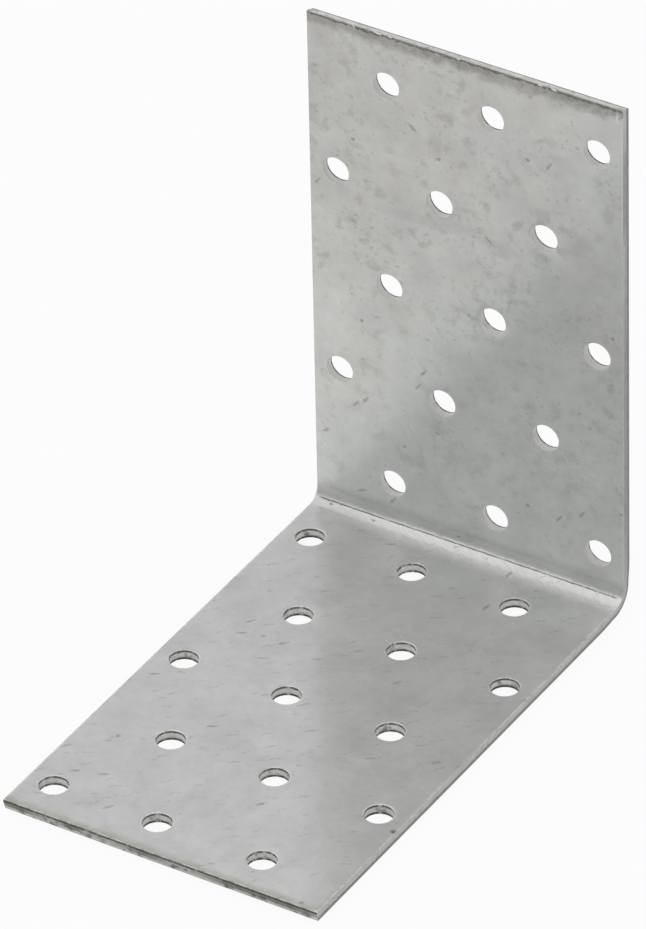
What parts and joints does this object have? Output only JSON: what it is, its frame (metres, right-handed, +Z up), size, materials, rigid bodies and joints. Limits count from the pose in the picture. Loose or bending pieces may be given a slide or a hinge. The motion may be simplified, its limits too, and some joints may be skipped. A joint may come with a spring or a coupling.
{
  "type": "angle bracket",
  "caption": "Right-angle bracket folded from one strip of galvanised steel, with staggered rows of round nail holes in both equal legs.",
  "frame": {"origin": "centre of the bounding box on the ground plane, which is the outer face of the base leg", "axes": "+X along the fold, +Y from the free end of the base leg to the back face of the upright leg, +Z up along the upright leg"},
  "size_m": [0.06, 0.1, 0.1],
  "materials": {
    "galvanised_sheet": "dull mottled zinc coating with soft gloss, small dark specks and short scratches; bare sheared edges"
  },
  "bodies": {
    "root": {"bracket": "galvanised_sheet"}
  },
  "joints": []
}
